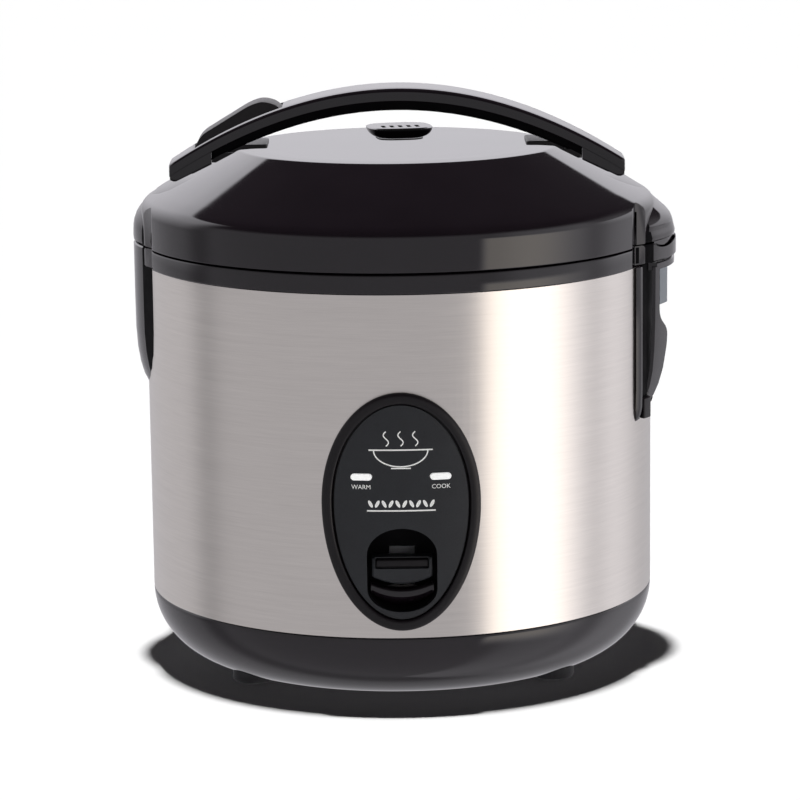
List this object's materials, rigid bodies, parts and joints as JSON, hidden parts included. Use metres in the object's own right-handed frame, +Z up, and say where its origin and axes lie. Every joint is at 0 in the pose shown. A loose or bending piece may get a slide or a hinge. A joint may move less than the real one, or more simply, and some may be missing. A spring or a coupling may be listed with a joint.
{
  "type": "rice cooker",
  "caption": "Round steel-sided rice cooker with a black hinged lid, an arched carrying handle, a cook switch, a removable pot and a clip-on dew collector.",
  "frame": {"origin": "centre of the outer box in plan, on the floor under the feet", "axes": "+Z up, -Y towards the control panel, +X towards the lid hinge and dew collector, +Y towards the mains inlet"},
  "size_m": [0.2476, 0.2364, 0.2635],
  "materials": {
    "aluminium": "rolled aluminium",
    "brass": "brass",
    "brushed_steel": "horizontally brushed stainless steel",
    "cast_aluminium": "cast aluminium, machined face",
    "circuit_board": "green laminate",
    "clear_plastic": "clear plastic",
    "glass_sleeve": "woven glass sleeve",
    "gloss_black": "gloss black plastic",
    "lens_white": "translucent white plastic",
    "panel_grey": "semi-gloss dark grey plastic",
    "pot_coating": "dark non-stick coating",
    "rubber": "grey rubber",
    "satin_black": "satin black plastic",
    "silicone": "pale silicone rubber",
    "spring_steel": "bare zinc-plated steel"
  },
  "bodies": {
    "cooker_body": {"base_housing": "gloss_black", "base_screw_1": "spring_steel", "base_screw_2": "spring_steel", "base_screw_3": "spring_steel", "element_terminal_left": "brass", "element_terminal_right": "brass", "foot_front_left": "rubber", "foot_front_right": "rubber", "foot_rear_left": "rubber", "foot_rear_right": "rubber", "heating_plate": "cast_aluminium", "hinge_bracket": "satin_black", "hinge_pin": "spring_steel", "indicator_board": "circuit_board", "indicator_lens_cook": "lens_white", "indicator_lens_warm": "lens_white", "inlet_lead_live": "glass_sleeve", "inlet_lead_neutral": "glass_sleeve", "inlet_pin_earth": "brass", "inlet_pin_live": "brass", "inlet_pin_neutral": "brass", "inner_pot": "pot_coating", "inner_shell": "aluminium", "latch_housing": "gloss_black", "latch_keeper": "gloss_black", "lever_bracket": "spring_steel", "lever_pin": "spring_steel", "microswitch": "satin_black", "outer_shell": "brushed_steel", "panel_bezel": "gloss_black", "panel_plate": "panel_grey", "plate_support_1": "spring_steel", "plate_support_2": "spring_steel", "plate_support_3": "spring_steel", "power_inlet": "satin_black", "switch_pocket": "satin_black", "thermal_fuse": "glass_sleeve", "thermostat_housing": "brushed_steel", "thermostat_spring": "spring_steel", "upper_rim": "gloss_black"},
    "lid": {"lid_cover": "gloss_black", "lid_inner_frame": "satin_black", "lid_gasket": "silicone", "inner_lid_plate": "aluminium", "plate_retainer": "silicone", "vent_duct": "silicone", "handle_top": "gloss_black", "handle_lower": "satin_black", "handle_screw_left": "spring_steel", "handle_screw_right": "spring_steel", "hook_pin": "spring_steel", "release_spring": "spring_steel"},
    "vent_cap": {"steam_vent_cap": "satin_black"},
    "release": {"release_lever": "satin_black"},
    "hook": {"latch_hook": "brushed_steel"},
    "cook_switch": {"switch_paddle": "gloss_black", "switch_arm": "brushed_steel"},
    "magnet": {"thermostat_magnet": "spring_steel"},
    "sensor": {"sensor_cap": "aluminium"},
    "dew_collector": {"dew_collector": "clear_plastic"}
  },
  "joints": [
    {"name": "lid_hinge", "type": "hinge", "parent": "cooker_body", "child": "lid", "pos_m": [0.1171, -0.00035, 0.2005], "axis": [0, 1, 0], "range_deg": [0, 90]},
    {"name": "vent_cap_lift", "type": "slide", "parent": "lid", "child": "vent_cap", "axis": [0, 0, 1], "range_m": [0, 0.007]},
    {"name": "release_press", "type": "hinge", "parent": "lid", "child": "release", "pos_m": [-0.0582, -0.00035, 0.251], "axis": [0, -1, 0], "range_deg": [0, 4], "stiffness_Nm_per_rad": 2, "springref_deg": -2.86},
    {"name": "hook_swing", "type": "hinge", "parent": "lid", "child": "hook", "pos_m": [-0.1022, -0.00035, 0.2065], "axis": [0, 1, 0], "range_deg": [0, 9.2], "stiffness_Nm_per_rad": 0.5, "springref_deg": -2.86, "deforming": ["release_spring"]},
    {"name": "cook_press", "type": "hinge", "parent": "cooker_body", "child": "cook_switch", "pos_m": [-0.0032, -0.07235, 0.031], "axis": [1, 0, 0], "range_deg": [0, 6]},
    {"name": "magnet_lift", "type": "slide", "parent": "cooker_body", "child": "magnet", "axis": [0, 0, 1], "range_m": [0, 0.0078]},
    {"name": "sensor_press", "type": "slide", "parent": "cooker_body", "child": "sensor", "axis": [0, 0, 1], "range_m": [-0.003, 0], "stiffness_N_per_m": 400, "springref_m": 0.005, "deforming": ["thermostat_spring"]},
    {"name": "dew_collector_pull", "type": "slide", "parent": "cooker_body", "child": "dew_collector", "axis": [1, 0, 0], "range_m": [0, 0.03]}
  ],
  "couplings": [
    {"joint": "hook_swing", "follows": "release_press", "ratio": 2.25},
    {"joint": "magnet_lift", "follows": "cook_press", "m_per_rad": 0.0728}
  ]
}
